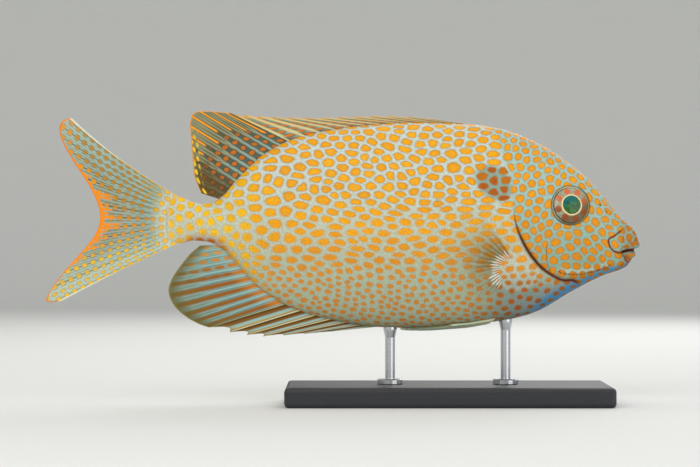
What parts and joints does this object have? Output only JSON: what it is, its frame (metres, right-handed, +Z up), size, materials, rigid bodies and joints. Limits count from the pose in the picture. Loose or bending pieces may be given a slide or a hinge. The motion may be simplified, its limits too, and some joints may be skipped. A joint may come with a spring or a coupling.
{
  "type": "gold-spotted rabbitfish model",
  "caption": "Still, life-size model of a gold-spotted rabbitfish held level over a flat base by two short rods.",
  "frame": {"origin": "on the floor under the middle of the whole part, halfway between the snout and the tail's tips", "axes": "+X towards the fish's snout, +Y towards its left side, +Z up"},
  "size_m": [0.3, 0.08, 0.1481],
  "materials": {
    "skin": "painted skin with orange-gold spots on a pale grey-green ground",
    "fin_membrane": "thin ribbed fin with grey-green rays and orange webs",
    "eye": "clear gloss over a spotted iris and a green pupil",
    "stand_base": "satin black",
    "stand_rod": "satin"
  },
  "bodies": {
    "root": {"head": "skin", "gill_cover_left": "skin", "gill_cover_right": "skin", "trunk": "skin", "tail_stalk": "skin", "dorsal_fin_spiny": "fin_membrane", "dorsal_fin_soft": "fin_membrane", "anal_fin_spiny": "fin_membrane", "anal_fin_soft": "fin_membrane", "tail_fin_upper": "fin_membrane", "tail_fin_lower": "fin_membrane", "pectoral_fin_left": "fin_membrane", "pectoral_fin_right": "fin_membrane", "pelvic_fin_left": "fin_membrane", "pelvic_fin_right": "fin_membrane", "eye_left": "eye", "eye_right": "eye", "stand_base": "stand_base", "stand_rod_front": "stand_rod", "stand_rod_rear": "stand_rod"}
  },
  "joints": []
}
